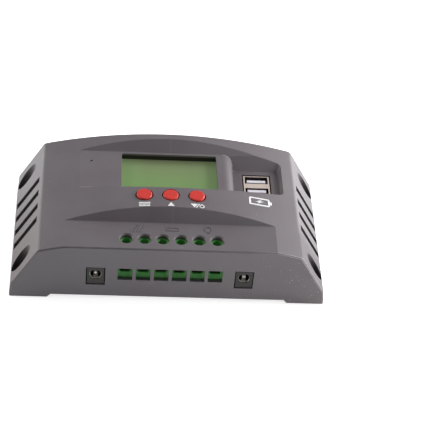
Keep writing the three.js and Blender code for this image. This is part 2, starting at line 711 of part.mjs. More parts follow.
function pushSwitch(x, i) {
  const stand = DISPLAY_BOARD_TOP + GAP;
  const wellBottom = stand + SWITCH_FLOOR;
  const well = uprightRod(x, BUTTON_Y, PLUNGER_RADIUS + GAP, [wellBottom, ABOVE]);
  const body = block(x, BUTTON_Y, SWITCH_HALF_WIDTH, SWITCH_HALF_WIDTH, [stand, SWITCH_TOP]).subtract(well);
  const plunger = uprightRod(x, BUTTON_Y, PLUNGER_RADIUS, [wellBottom + PLUNGER_LIFT, PLUNGER_TOP]);
  return [
    meshOf(`switch_body_${i + 1}`, body, BLACK_PLASTIC),
    meshOf(`switch_plunger_${i + 1}`, plunger, PALE_PLASTIC),
  ];
}

// ---- Clamp terminals ---------------------------------------------------------------------

// In each pole a screw that can't travel lifts a cage, which presses the wire up on a contact.
const HOUSING_FRONT = -DEPTH / 2 + WALL + GAP;
const HOUSING_BACK = -29;
const HOUSING_TOP = STEP.floor - WALL - GAP;
const HOUSING_END = 0.6; // plastic past the half pitch of the outer poles
const CELL_FRONT = -39.2;
const CELL_BACK = -31.6;
const CELL_BOTTOM = 16;
const CELL_TOP = 27.1;
const WIRE_BOTTOM = 17; // the wire's way in, past the funnel
const WIRE_TOP = 21.7;
const WIRE_HALF_WIDTH = 3;
const FUNNEL_DEPTH = 1.5;
const FUNNEL_CORNERS = { front: 0.6, back: 1.5 };
const SCREW_SEAT = 28.1; // the shoulder that keeps the screw from travelling
const SCREW_BORE_RADIUS = 2.4;
const CLAMP_SCREW_RADIUS = 1.45;
const CLAMP_HEAD_HEIGHT = 1.8;
const CLAMP_SLOT_HALF_WIDTH = 0.4;
const CONTACT_HALF_WIDTH = 1.9;
const CONTACT_THICKNESS = 1;
const CONTACT_TOP = 22.9;
const CONTACT_TAIL_Y = -28.2;
const CAGE_WALL = 0.8;
const CAGE_TOP = CONTACT_TOP + GAP + CAGE_WALL; // a lift of 2.8 mm ends a gap below the cell's top

// A funnel that narrows from the cover's opening to a nearly round hole.
function wireFunnel(x) {
  const ring = (halfWidth, heights, radius, y) =>
    roundedRectangle([x - halfWidth, x + halfWidth], heights, radius).map(([u, v]) => [u, y, v]);
  const narrow = [WIRE_HALF_WIDTH, [WIRE_BOTTOM, WIRE_TOP], FUNNEL_CORNERS.back];
  const wide = [CELL_WIDTH / 2, [ENTRY_BOTTOM + GAP, ENTRY_TOP - GAP], FUNNEL_CORNERS.front];
  return loft([
    ring(...narrow, CELL_FRONT + GAP),
    ring(...narrow, HOUSING_FRONT + FUNNEL_DEPTH),
    ring(...wide, HOUSING_FRONT),
    ring(...wide, HOUSING_FRONT - WALL),
  ]);
}

function terminalCell(x) {
  const half = CELL_WIDTH / 2;
  const slotHalf = CONTACT_HALF_WIDTH + GAP;
  const slotHeights = [CONTACT_TOP - CONTACT_THICKNESS - GAP, CONTACT_TOP + GAP];
  return [
    wireFunnel(x),
    box([x - half, x + half], [CELL_FRONT, CELL_BACK], [CELL_BOTTOM, CELL_TOP]),
    box([x - slotHalf, x + slotHalf], [CELL_BACK - GAP, HOUSING_BACK + WALL], slotHeights),
    uprightRod(x, POLE_Y, CLAMP_SCREW_RADIUS + GAP, [CELL_TOP - GAP, ABOVE]),
    uprightRod(x, POLE_Y, SCREW_BORE_RADIUS, [SCREW_SEAT, ABOVE], ROUND_STEPS),
  ];
}

function terminalHousing() {
  const halfLength = (POLES * POLE_PITCH) / 2 + HOUSING_END;
  const xs = [ROW_X - halfLength, ROW_X + halfLength];
  const outline = box(xs, [HOUSING_FRONT, HOUSING_BACK], [MAIN_BOARD_TOP + GAP, HOUSING_TOP]);
  return meshOf("terminal_housing", cut(outline, poleXs.flatMap(terminalCell)), GREEN_PLASTIC);
}

function terminalScrew(x, i) {
  const headRadius = SCREW_BORE_RADIUS - GAP;
  const headBottom = SCREW_SEAT + GAP;
  const headTop = headBottom + CLAMP_HEAD_HEIGHT;
  const tip = CONTACT_TOP + GAP;
  const profile = [
    [0, tip],
    [CLAMP_SCREW_RADIUS, tip],
    [CLAMP_SCREW_RADIUS, headBottom],
    [headRadius, headBottom],
    [headRadius, headTop],
    [0, headTop],
  ];
  const slotHeights = [headTop - CLAMP_HEAD_HEIGHT / 2, headTop + WALL];
  const slot = block(x, POLE_Y, SCREW_BORE_RADIUS, CLAMP_SLOT_HALF_WIDTH, slotHeights);
  return meshOf(`terminal_screw_${i + 1}`, turned(profile, x, POLE_Y).subtract(slot), NICKEL);
}

function terminalCage(x, i) {
  const half = CELL_WIDTH / 2 - GAP;
  const depth = [CELL_FRONT + GAP, CELL_BACK - GAP];
  const ring = box([x - half, x + half], depth, [CELL_BOTTOM + GAP, CAGE_TOP]);
  const insideHalf = half - CAGE_WALL;
  const inside = box([x - insideHalf, x + insideHalf], [-DEPTH, DEPTH], [WIRE_BOTTOM, CAGE_TOP - CAGE_WALL]);
  const thread = uprightRod(x, POLE_Y, CLAMP_SCREW_RADIUS + GAP, [CAGE_TOP - WALL, CAGE_TOP + WALL]);
  return meshOf(`terminal_cage_${i + 1}`, cut(ring, [inside, thread]), STEEL);
}

function terminalContact(x, i) {
  const xs = [x - CONTACT_HALF_WIDTH, x + CONTACT_HALF_WIDTH];
  const tailDepth = [CONTACT_TAIL_Y - CONTACT_THICKNESS / 2, CONTACT_TAIL_Y + CONTACT_THICKNESS / 2];
  const bar = box(xs, [CELL_FRONT + CAGE_WALL, tailDepth[1]], [CONTACT_TOP - CONTACT_THICKNESS, CONTACT_TOP]);
  const tail = box(xs, tailDepth, [MAIN_BOARD_BOTTOM - CONTACT_THICKNESS, CONTACT_TOP]);
  return meshOf(`terminal_contact_${i + 1}`, bar.add(tail), BRASS);
}

// ---- Charging port and power jacks -------------------------------------------------------

// Each socket: its depth from front to back, and the middle of its tongue.
const SOCKETS = {
  front: { depth: [8.1, 13.4], tongue: 11.6 },
  back: { depth: [17, 22.7], tongue: 19.6 },
};
const PORT_SIDE_WALL = 0.8;
const PORT_FLOOR = 1;
const TONGUE = { halfWidth: 5.1, halfThickness: 1, top: 31, rootTop: 21 };

function chargingPort() {
  const { x, y } = PORT_CENTRE;
  const bottom = MAIN_BOARD_TOP + GAP;
  const halfWidth = PORT_WIDTH / 2 - PORT_SIDE_WALL;
  const socketFloor = bottom + PORT_FLOOR;
  const across = [x - halfWidth, x + halfWidth];
  const hollows = Object.values(SOCKETS).map(({ depth }) => box(across, depth, [socketFloor, ABOVE]));
  const shell = cut(block(x, y, PORT_WIDTH / 2, PORT_DEPTH / 2, [bottom, PORT_TOP]), hollows);
  const tongues = Object.entries(SOCKETS).map(([place, { depth, tongue }]) => {
    const rootDepth = [depth[0] + GAP, depth[1] - GAP];
    const rootHeights = [socketFloor + GAP, TONGUE.rootTop];
    const root = box([across[0] + GAP, across[1] - GAP], rootDepth, rootHeights);
    const bladeHeights = [TONGUE.rootTop - GAP, TONGUE.top];
    const blade = block(x, tongue, TONGUE.halfWidth, TONGUE.halfThickness, bladeHeights);
    return meshOf(`port_tongue_${place}`, root.add(blade), WHITE_PLASTIC);
  });
  return [meshOf("port_shell", shell, STEEL), ...tongues];
}

// A barrel jack: a square housing with a round bore and a pin down the middle of it.
const JACK_BACK = -30.5;
const JACK_BORE_RADIUS = 3.2;
const JACK_BORE_BACK = -34;
const JACK_PIN_RADIUS = 1;
const JACK_PIN_INSET = 1; // from the housing's face to the pin's tip
const JACK_PIN_TAIL = 0.5; // left of the housing's back wall behind the pin

function jackPin(x, tip, end) {
  const roundedTip = [[0, 0], [0.5, 0.13], [0.87, 0.5], [1, 1]].map(([out, along]) =>
    new THREE.Vector2(out, along).multiplyScalar(JACK_PIN_RADIUS),
  );
  const length = end - tip;
  const shank = [new THREE.Vector2(JACK_PIN_RADIUS, length), new THREE.Vector2(0, length)];
  const geometry = new THREE.LatheGeometry([...roundedTip, ...shank], HIDDEN_STEPS);
  return solidOf(geometry.translate(x, tip, JACK_AXIS_Z));
}

function powerJack(x, place) {
  const front = -DEPTH / 2 + GAP;
  const halfWidth = JACK_WIDTH / 2;
  const body = box([x - halfWidth, x + halfWidth], [front, JACK_BACK], [MAIN_BOARD_TOP + GAP, JACK_TOP]);
  const housing = cut(body, [
    levelRod(x, JACK_AXIS_Z, JACK_BORE_RADIUS, [front - WALL, JACK_BORE_BACK], ROUND_STEPS),
    levelRod(x, JACK_AXIS_Z, JACK_PIN_RADIUS + GAP, [JACK_BORE_BACK - GAP, JACK_BACK + WALL]),
  ]);
  const pin = jackPin(x, front + JACK_PIN_INSET, JACK_BACK - JACK_PIN_TAIL);
  return [meshOf(`jack_housing_${place}`, housing, BLACK_PLASTIC), meshOf(`jack_pin_${place}`, pin, NICKEL)];
}

// ---- Power parts on the main board -------------------------------------------------------

const CAPACITORS = { xs: [-14, 14], y: -20.4, radius: 6, height: 20, grooveHeight: 2, groove: 0.5 };
const HEAT_SINK = { left: -48, right: -10, front: 2, back: 28, bottom: 16.6, top: 22, base: 2 };
const FINS = { count: 8, thickness: 1.4 };
const TRANSISTORS = { xs: [-40, -18], y: 15, halfWidth: 5.1, halfDepth: 7.5 };
const INDUCTOR = { x: 14, y: 17, halfWidth: 9, height: 9, dimpleRadius: 6.5, dimple: 0.6 };

function capacitor(x, i) {
  const { y, radius, height, grooveHeight, groove } = CAPACITORS;
  const bottom = MAIN_BOARD_TOP + GAP;
  const top = bottom + height;
  const profile = [
    [0, bottom],
    [radius, bottom],
    [radius, bottom + grooveHeight - groove],
    [radius - groove, bottom + grooveHeight],
    [radius, bottom + grooveHeight + groove],
    [radius, top - groove],
    [radius - groove, top],
    [0, top],
  ];
  return meshOf(`capacitor_${i + 1}`, turned(profile, x, y, 2 * HIDDEN_STEPS), SLEEVE);
}

function heatSink() {
  const { left, right, front, back, bottom, top, base } = HEAT_SINK;
  const plate = box([left, right], [front, back], [bottom, bottom + base]);
  const pitch = (right - left - FINS.thickness) / (FINS.count - 1);
  const fins = Array.from({ length: FINS.count }, (_, i) => {
    const x = left + i * pitch;
    return box([x, x + FINS.thickness], [front, back], [bottom, top]);
  });
  return meshOf("heat_sink", union([plate, ...fins]), ALUMINIUM);
}

function powerTransistor(x, i) {
  const { y, halfWidth, halfDepth } = TRANSISTORS;
  const heights = [MAIN_BOARD_TOP + GAP, HEAT_SINK.bottom - GAP];
  return meshOf(`power_transistor_${i + 1}`, block(x, y, halfWidth, halfDepth, heights), BLACK_PLASTIC);
}

function inductor() {
  const { x, y, halfWidth, height, dimpleRadius, dimple } = INDUCTOR;
  const bottom = MAIN_BOARD_TOP + GAP;
  const top = bottom + height;
  const can = block(x, y, halfWidth, halfWidth, [bottom, top]);
  const dimpleCut = uprightRod(x, y, dimpleRadius, [top - dimple, ABOVE]);
  return meshOf("power_inductor", can.subtract(dimpleCut), BLACK_PLASTIC);
}

// ---- Assembly ----------------------------------------------------------------------------

const controller = new THREE.Group();
controller.name = "charge_controller";
controller.add(
  topCover(),
  basePlate(),
  ...caseScrews(),
  mainBoard(),
  ...boardScrews(),
  displayBoard(),
  ...displayScrews(),
  boardConnector(),
  ...displayPieces(),
  indicatorLed(),
  ...BUTTON_XS.map(buttonCap),
  ...BUTTON_XS.flatMap(pushSwitch),
  terminalHousing(),
  ...poleXs.map(terminalScrew),
  ...poleXs.map(terminalCage),
  ...poleXs.map(terminalContact),
  ...chargingPort(),
  ...powerJack(JACK_XS[0], "left"),
  ...powerJack(JACK_XS[1], "right"),
  ...CAPACITORS.xs.map(capacitor),
  heatSink(),
  ...TRANSISTORS.xs.map(powerTransistor),
  inductor(),
);

export default controller;
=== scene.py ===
"""The look of the charge controller: materials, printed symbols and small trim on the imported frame."""
import json
import math

import bmesh
import bpy
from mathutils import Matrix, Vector
from mathutils.bvhtree import BVHTree


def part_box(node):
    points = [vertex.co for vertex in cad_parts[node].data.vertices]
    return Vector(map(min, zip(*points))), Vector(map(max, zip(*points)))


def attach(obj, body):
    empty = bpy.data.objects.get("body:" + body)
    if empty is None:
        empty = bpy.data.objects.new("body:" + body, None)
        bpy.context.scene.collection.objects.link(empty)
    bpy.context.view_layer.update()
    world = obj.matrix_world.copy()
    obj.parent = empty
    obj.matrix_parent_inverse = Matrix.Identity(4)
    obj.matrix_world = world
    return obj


MM = 0.001  # the frame is in metres, and sizes below are in millimetres unless they say otherwise

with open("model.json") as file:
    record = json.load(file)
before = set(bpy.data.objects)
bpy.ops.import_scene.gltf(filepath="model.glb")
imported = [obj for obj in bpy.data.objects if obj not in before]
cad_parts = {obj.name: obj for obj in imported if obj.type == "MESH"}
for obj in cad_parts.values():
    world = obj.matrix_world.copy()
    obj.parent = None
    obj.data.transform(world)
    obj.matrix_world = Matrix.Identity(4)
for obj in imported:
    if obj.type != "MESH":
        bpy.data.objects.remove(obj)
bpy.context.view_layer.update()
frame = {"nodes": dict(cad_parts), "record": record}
nodes = frame["nodes"]


# ---- Places worked out from the frame ------------------------------------------------------

def box_mm(node):
    """The lowest and highest corner of a node's box, in millimetres."""
    low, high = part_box(node)
    return low / MM, high / MM


def centre_mm(node):
    low, high = box_mm(node)
    return (low + high) / 2


def surface_tree(node):
    """The node's surface, for finding heights on it."""
    thing = nodes[node]
    corners = [thing.matrix_world @ vertex.co for vertex in thing.data.vertices]
    return BVHTree.FromPolygons(corners, [face.vertices for face in thing.data.polygons])


cover_low, cover_high = box_mm("top_cover")
cover_tree = surface_tree("top_cover")
FRONT = cover_low.y  # the terminal face
ABOVE_COVER = cover_high.z + 2


def cover_height(x, y):
    """Height of the cover's outside over a place."""
    start = Vector((x, y, ABOVE_COVER)) * MM
    return cover_tree.ray_cast(start, Vector((0, 0, -1)))[0].z / MM


# ---- Colours -------------------------------------------------------------------------------

def tone(red, green, blue):
    """A colour given by its screen values, 0 to 255, by the standard sRGB curve."""
    def linear(value):
        share = value / 255
        return share / 12.92 if share <= 0.04045 else ((share + 0.055) / 1.055) ** 2.4
    return (linear(red), linear(green), linear(blue), 1.0)


def darkened(colour, share):
    return tuple(channel * (1 - share) for channel in colour[:3]) + (1.0,)


CASING_GREY = tone(111, 104, 109)
CASING_GREY_CLOUDS = tone(116, 111, 114)
CASING_GRAIN = tone(84, 80, 84)
CASING_FLOW_LINE = tone(150, 146, 150)
CASING_SPECK = tone(170, 166, 168)
CASING_DUST = tone(206, 202, 204)
# painted highlight for the edges that catch the light
CASING_EDGE_HIGHLIGHT = tone(206, 200, 202)
# painted light on the leaning walls towards the right
CASING_WALL_RIGHT_LIT = tone(128, 123, 127)
# painted shade on the left of the terminal face
CASING_FRONT_LEFT_SHADE = tone(98, 94, 100)
# painted shade on the front of the right end slope
CASING_SLOPE_RIGHT_SHADE = tone(98, 93, 97)
# painted shade on the left end slope
CASING_SLOPE_LEFT_SHADE = tone(104, 95, 94)
# painted shade for the walls of the slots and channels
CASING_SLOT_WALL_SHADE = tone(78, 73, 75)

BUTTON_RED = tone(219, 69, 63)
TERMINAL_GREEN = tone(98, 178, 96)
SATIN_BLACK = tone(40, 35, 33)
PORT_WHITE = tone(244, 240, 250)
SWITCH_CREAM = tone(216, 206, 186)
SLEEVE_BLUE_BLACK = tone(36, 42, 58)
LAMP_RED = tone(168, 58, 50)
PRINT_WHITE = tone(246, 246, 246)

ZINC = tone(222, 202, 186)
NICKEL = tone(232, 226, 216)
# painted highlight: a paler, less metallic copy of nickel for the jacks' pins
LIT_PIN_NICKEL = tone(252, 250, 246)
ALUMINIUM = tone(180, 182, 184)
BRASS = tone(200, 172, 112)
# painted shade: a dark copy of steel for the clamp cages, down in the terminals' holes
SHADED_CAGE_STEEL = tone(112, 112, 114)
TIN_DARK = tone(206, 186, 170)
TIN_PALE = tone(246, 234, 228)
# painted shade down inside the sockets
SOCKET_SHADE = tone(44, 36, 32)

# painted shade at the back of the display, under the cover's edge
DISPLAY_BACK_SHADE = tone(112, 120, 91)
DISPLAY_FRONT = tone(102, 135, 80)
DISPLAY_FRONT_LEFT = tone(100, 137, 73)
DISPLAY_CLOUDS = tone(112, 122, 98)
# painted light at the display's sides
DISPLAY_SIDES_LIT = tone(132, 170, 112)

BOARD_GREEN = tone(24, 84, 48)
BOARD_TRACK = tone(48, 118, 66)
BOARD_CLOUDS = tone(16, 60, 36)

PAPER = tone(250, 250, 250)
PAPER_WHITE = tone(255, 255, 255)
LIGHT_WHITE = (1.0, 1.0, 1.0, 1.0)


# ---- Material building ---------------------------------------------------------------------

class Recipe:
    """One material's node tree, built by short calls that return sockets.

    Textures are laid over the pieces in millimetres. A mask is a value from 0 to 1.
    """

    MIX_SHARE, MIX_FROM, MIX_TO = 0, 6, 7  # the Mix node's sockets for colours share their names
    MIX_RESULT = 2

    def __init__(self, name):
        self.material = bpy.data.materials.new(name)
        self.material.use_nodes = True
        self.tree = self.material.node_tree
        self.tree.nodes.clear()
        coords = self.make("ShaderNodeTexCoord", output="Object")
        self.place = self.make("ShaderNodeMapping", {"Vector": coords, "Scale": (1 / MM,) * 3})

    def make(self, kind, inputs=None, output=0, **settings):
        """Add a node, feed its inputs and return one of its outputs."""
        node = self.tree.nodes.new(kind)
        for key, value in settings.items():
            setattr(node, key, value)
        for key, value in (inputs or {}).items():
            self.feed(node.inputs[key], value)
        return node.outputs[output]

    def feed(self, socket, value):
        if isinstance(value, bpy.types.NodeSocket):
            self.tree.links.new(value, socket)
        else:
            socket.default_value = value

    # Textures

    def noise(self, per_mm, detail=2.0, stretch=None):
        place = self.place
        if stretch:
            place = self.make("ShaderNodeMapping", {"Vector": place, "Scale": stretch})
        return self.make("ShaderNodeTexNoise", {"Vector": place, "Scale": per_mm, "Detail": detail})

    def specks(self, per_mm, share, radius):
        """Sparse round spots, as a mask: `share` of the cells of a random grid hold one."""
        cells = {"Vector": self.place, "Scale": per_mm}
        distance = self.make("ShaderNodeTexVoronoi", cells, output="Distance")
        chance = self.part(self.make("ShaderNodeTexVoronoi", cells, output="Color"), "X")
        reach = radius * per_mm
        chosen = self.band(chance, absent=share, full=share * 0.9)
        return self.both(chosen, self.band(distance, absent=reach, full=reach * 0.4))

    # Arithmetic

    def math(self, operation, a, b=0.0):
        return self.make("ShaderNodeMath", {0: a, 1: b}, operation=operation)

    def both(self, a, b):
        return self.math("MULTIPLY", a, b)

    def either(self, a, b):
        return self.math("MAXIMUM", a, b)

    def scaled(self, value, by):
        return self.math("MULTIPLY", value, by)

    def away(self, value, middle):
        """Distance from a middle value, to either side."""
        return self.math("ABSOLUTE", self.math("SUBTRACT", value, middle))

    def band(self, value, absent, full):
        """A mask: 0 where the value is at `absent`, 1 where it is at `full`, straight between."""
        inputs = {"Value": value, "From Min": absent, "From Max": full}
        return self.make("ShaderNodeMapRange", inputs, clamp=True)

    def spread(self, mask, low, high):
        """A mask turned into a value between two others."""
        return self.make("ShaderNodeMapRange", {"Value": mask, "To Min": low, "To Max": high})

    def mix(self, share, a, b):
        node = self.tree.nodes.new("ShaderNodeMix")
        node.data_type = "RGBA"
        self.feed(node.inputs[self.MIX_SHARE], share)
        self.feed(node.inputs[self.MIX_FROM], a)
        self.feed(node.inputs[self.MIX_TO], b)
        return node.outputs[self.MIX_RESULT]

    # Where a point of the surface is and which way it looks

    def part(self, vector, name):
        return self.make("ShaderNodeSeparateXYZ", {"Vector": vector}, output=name)

    def axis(self, name):
        return self.part(self.place, name)

    def near(self, name, middle, reach):
        """A mask: 1 within `reach` of a place along an axis, 0 outside."""
        return self.band(self.away(self.axis(name), middle), absent=reach, full=reach * 0.8)

    def facing(self, name):
        """How far the surface looks along an axis, -1 to 1."""
        return self.part(self.make("ShaderNodeTexCoord", output="Normal"), name)

    # Shape that is too small for the mesh

    def rounded(self, radius):
        """The surface's direction with every edge rounded by a radius."""
        return self.make("ShaderNodeBevel", {"Radius": radius * MM}, samples=6)

    def edges(self, soft_normal):
        """A mask: 1 on edges, where the rounded direction leaves the flat one."""
        flat_normal = self.make("ShaderNodeNewGeometry", output="True Normal")
        inputs = {0: soft_normal, 1: flat_normal}
        likeness = self.make("ShaderNodeVectorMath", inputs, output="Value", operation="DOT_PRODUCT")
        return self.band(likeness, absent=0.995, full=0.93)

    def bump(self, height, depth, normal, strength=0.5):
        inputs = {"Height": height, "Distance": depth * MM, "Strength": strength, "Normal": normal}
        return self.make("ShaderNodeBump", inputs)

    def finish(self, **inputs):
        shader = self.tree.nodes.new("ShaderNodeBsdfPrincipled")
        for key, value in inputs.items():
            self.feed(shader.inputs[key.replace("_", " ")], value)
        output = self.tree.nodes.new("ShaderNodeOutputMaterial")
        self.tree.links.new(shader.outputs["BSDF"], output.inputs["Surface"])
        return self.material


# ---- The casing ----------------------------------------------------------------------------

FLOW_LINE_X = 1.0  # the faint line that the mould leaves down the middle
END_SLOPE_X = (67.0, 69.0)  # from here outwards the cover slopes down to its ends
SLOT_REACH_Y = 40.0  # the slots in the slopes lie within this of the middle
display_front = box_mm("lcd_glass")[0].y
display_lamp = centre_mm("indicator_led")
port_low, port_high = box_mm("port_shell")


def moulded_grey(r, grain):
    """The plastic's own colour: faint clouds, fine grain and stray pale specks."""
    clouds = r.band(r.noise(per_mm=0.035, detail=3.0), absent=0.35, full=0.65)
    colour = r.mix(clouds, CASING_GREY, CASING_GREY_CLOUDS)
    colour = r.mix(r.spread(grain, low=0.0, high=0.16), colour, CASING_GRAIN)
    stray_specks = r.specks(per_mm=0.2, share=0.2, radius=0.4)
    return r.mix(r.scaled(stray_specks, by=0.5), colour, CASING_SPECK)


def lean_walls(r):
    """A mask of the walls that lean back: between the crown and the step, and of the hollows."""
    looks_forward = r.band(r.facing("Y"), absent=-0.4, full=-0.5)
    looks_up = r.band(r.facing("Z"), absent=0.4, full=0.5)
    return r.both(looks_forward, looks_up)


def with_flow_line(r, colour, walls):
    line = r.band(r.away(r.axis("X"), FLOW_LINE_X), absent=1.0, full=0.2)
    return r.mix(r.scaled(r.both(line, walls), by=0.12), colour, CASING_FLOW_LINE)


def with_dust(r, colour, front, right):
    """Pale dust in uneven patches on the right of the terminal face."""
    dust = r.specks(per_mm=0.6, share=0.45, radius=0.4)
    patches = r.band(r.noise(per_mm=0.5, detail=2.0), absent=0.35, full=0.65)
    return r.mix(r.both(r.both(dust, r.both(front, right)), patches), colour, CASING_DUST)


def with_slot_wall_shade(r, colour):
    """Painted shade: the walls of the slots and channels in the end slopes are darkened."""
    on_ends = r.band(r.away(r.axis("X"), 0.0), *END_SLOPE_X)
    across = r.band(r.away(r.facing("Y"), 0.0), absent=0.6, full=0.8)
    walls = r.both(r.both(on_ends, across), r.near("Y", middle=0.0, reach=SLOT_REACH_Y))
    return r.mix(walls, colour, CASING_SLOT_WALL_SHADE)


def with_edge_highlights(r, colour, right):
    """Painted highlights on edges: front right, left of the display, beside the port."""
    near_front = r.both(r.band(r.axis("Y"), absent=FRONT + 9.0, full=FRONT + 4.0), right)
    recess_edge = r.both(
        r.near("Y", middle=display_front + 0.4, reach=1.2),
        r.near("X", middle=display_lamp.x + 3.6, reach=12.0),
    )
    pocket_edge = r.both(
        r.near("Y", middle=port_high.y + 7.0, reach=4.2),
        r.near("X", middle=port_low.x - 8.25, reach=4.0),
    )
    highlighted = r.either(near_front, r.either(r.scaled(recess_edge, by=0.5), pocket_edge))
    return r.mix(r.both(r.edges(r.rounded(0.7)), highlighted), colour, CASING_EDGE_HIGHLIGHT)


def casing_material():
    """Warm grey moulded plastic, a little dusty, with painted light and shade on its walls, slopes and
    edges.
    """
    r = Recipe("casing_plastic")
    grain = r.noise(per_mm=4.5, detail=3.0)
    front = r.band(r.axis("Y"), absent=FRONT + 1.0, full=FRONT + 0.4)
    right = r.band(r.axis("X"), absent=40.0, full=62.0)
    walls = lean_walls(r)
    colour = with_flow_line(r, moulded_grey(r, grain), walls)
    colour = with_dust(r, colour, front, right)

    # Painted light: the leaning walls grow lighter towards the right.
    lit_walls_on_right = r.both(walls, r.band(r.axis("X"), absent=-10.0, full=60.0))
    colour = r.mix(lit_walls_on_right, colour, CASING_WALL_RIGHT_LIT)
    # Painted shade: the terminal face darkens towards its left.
    front_left = r.both(front, r.band(r.axis("X"), absent=30.0, full=-60.0))
    colour = r.mix(r.scaled(front_left, by=0.7), colour, CASING_FRONT_LEFT_SHADE)
    # Painted shade: the right end slope darkens towards the front.
    right_slope = r.both(
        r.band(r.facing("X"), absent=0.3, full=0.5),
        r.band(r.axis("Y"), absent=FRONT + 30.0, full=FRONT + 18.0),
    )
    colour = r.mix(right_slope, colour, CASING_SLOPE_RIGHT_SHADE)
    # Painted shade: the left end slope darkens, a little warmer, towards the front.
    left_slope = r.both(
        r.band(r.facing("X"), absent=-0.3, full=-0.5),
        r.band(r.axis("Y"), absent=25.0, full=-20.0),
    )
    colour = r.mix(r.scaled(left_slope, by=0.7), colour, CASING_SLOPE_LEFT_SHADE)
    colour = with_edge_highlights(r, with_slot_wall_shade(r, colour), right)

    dulled = r.either(right_slope, r.scaled(left_slope, by=0.35))
    return r.finish(
        Base_Color=colour,
        Roughness=r.spread(r.noise(per_mm=1.2, detail=2.0), low=0.38, high=0.5),
        Normal=r.bump(grain, depth=0.03, normal=r.rounded(0.45), strength=0.6),
        Specular_IOR_Level=r.spread(dulled, low=0.5, high=0.2),
    )


# ---- Other materials -----------------------------------------------------------------------

def plastic(name, colour, roughness, grain_depth=0.012):
    r = Recipe(name)
    grain = r.noise(per_mm=3.0, detail=3.0)
    rough = r.noise(per_mm=0.8, detail=2.0)
    return r.finish(
        Base_Color=r.mix(r.noise(per_mm=0.25, detail=2.0), darkened(colour, 0.12), colour),
        Roughness=r.spread(rough, low=roughness * 0.8, high=roughness * 1.25),
        Normal=r.bump(grain, depth=grain_depth, normal=r.rounded(0.25)),
    )


def metal(name, colour, roughness, stretch=(1.0, 1.0, 1.0), metallic=1.0):
    """Brushed metal; stretch squeezes the brush marks along each axis."""
    r = Recipe(name)
    brush = r.noise(per_mm=2.5, detail=4.0, stretch=stretch)
    rough = r.noise(per_mm=1.5, detail=2.0)
    return r.finish(
        Base_Color=r.mix(brush, darkened(colour, 0.2), colour),
        Roughness=r.spread(rough, low=roughness * 0.75, high=roughness * 1.3),
        Normal=r.bump(brush, depth=0.01, normal=r.rounded(0.12)),
        Metallic=metallic,
    )


def port_shell_material():
    """Tinned sheet metal, darkened down inside the sockets as painted shade, so the rims and the divider
    stay pale.
    """
    r = Recipe("port_shell_tin")
    middle = (port_low + port_high) / 2
    reach = (port_high - port_low) / 2
    rim = 0.2
    sunk = r.band(r.axis("Z"), absent=port_high.z - 0.1, full=port_high.z - 0.5)
    across = r.near("X", middle=middle.x, reach=reach.x - rim)
    along = r.near("Y", middle=middle.y, reach=reach.y - rim)
    # Painted shade: the sheet darkens down inside the sockets.
    inside = r.both(sunk, r.either(across, along))
    brush = r.noise(per_mm=1.5, detail=3.0, stretch=(0.3, 3.0, 1.0))
    return r.finish(
        Base_Color=r.mix(inside, r.mix(brush, TIN_DARK, TIN_PALE), SOCKET_SHADE),
        Roughness=r.spread(r.noise(per_mm=1.5, detail=2.0), low=0.3, high=0.5),
        Normal=r.bump(brush, depth=0.01, normal=r.rounded(0.15)),
        Metallic=0.25,
    )


DISPLAY_PAINTED_GLOW = 0.36  # painted glow: the unlit panel gives off light, which evens out its edges


def display_material():
    """An unlit liquid-crystal panel: grey-green at the back with painted shade under the cover's edge,
    greener towards the front, with painted light at its sides and a painted glow.
    """
    r = Recipe("display_panel")
    low, high = box_mm("lcd_glass")
    half_width = (high.x - low.x) / 2
    to_front = r.band(r.axis("Y"), absent=high.y, full=low.y)
    to_left = r.band(r.axis("X"), absent=high.x, full=low.x)
    from_middle = r.away(r.axis("X"), (low.x + high.x) / 2)
    to_sides = r.band(from_middle, absent=half_width * 0.45, full=half_width)
    clouds = r.spread(r.noise(per_mm=0.05, detail=1.0), low=0.0, high=0.12)
    # Painted shade: greyer and darker at the back under the cover's edge.
    colour = r.mix(to_front, DISPLAY_BACK_SHADE, DISPLAY_FRONT)
    colour = r.mix(r.scaled(r.both(to_front, to_left), by=0.5), colour, DISPLAY_FRONT_LEFT)
    colour = r.mix(clouds, colour, DISPLAY_CLOUDS)
    # Painted light: the sides are lifted against the shade of the window's walls.
    colour = r.mix(r.scaled(to_sides, by=0.3), colour, DISPLAY_SIDES_LIT)
    return r.finish(
        Base_Color=colour,
        Roughness=r.spread(r.noise(per_mm=0.1, detail=1.0), low=0.3, high=0.4),
        Coat_Weight=0.1,
        Coat_Roughness=0.1,
        # painted glow of a panel that is no lamp
        Emission_Color=colour,
        Emission_Strength=DISPLAY_PAINTED_GLOW,
    )


def board_material():
    """Green circuit board with a pattern of tracks under its varnish."""
    r = Recipe("circuit_board")
    tracks = r.make("ShaderNodeTexBrick", {"Vector": r.place, "Scale": 0.35}, output="Fac")
    colour = r.mix(r.scaled(tracks, by=0.4), BOARD_GREEN, BOARD_TRACK)
    return r.finish(
        Base_Color=r.mix(r.scaled(r.noise(per_mm=0.2), by=0.3), colour, BOARD_CLOUDS),
        Roughness=r.spread(r.noise(per_mm=1.0), low=0.35, high=0.5),
        Normal=r.bump(tracks, depth=0.03, normal=r.rounded(0.1)),
    )


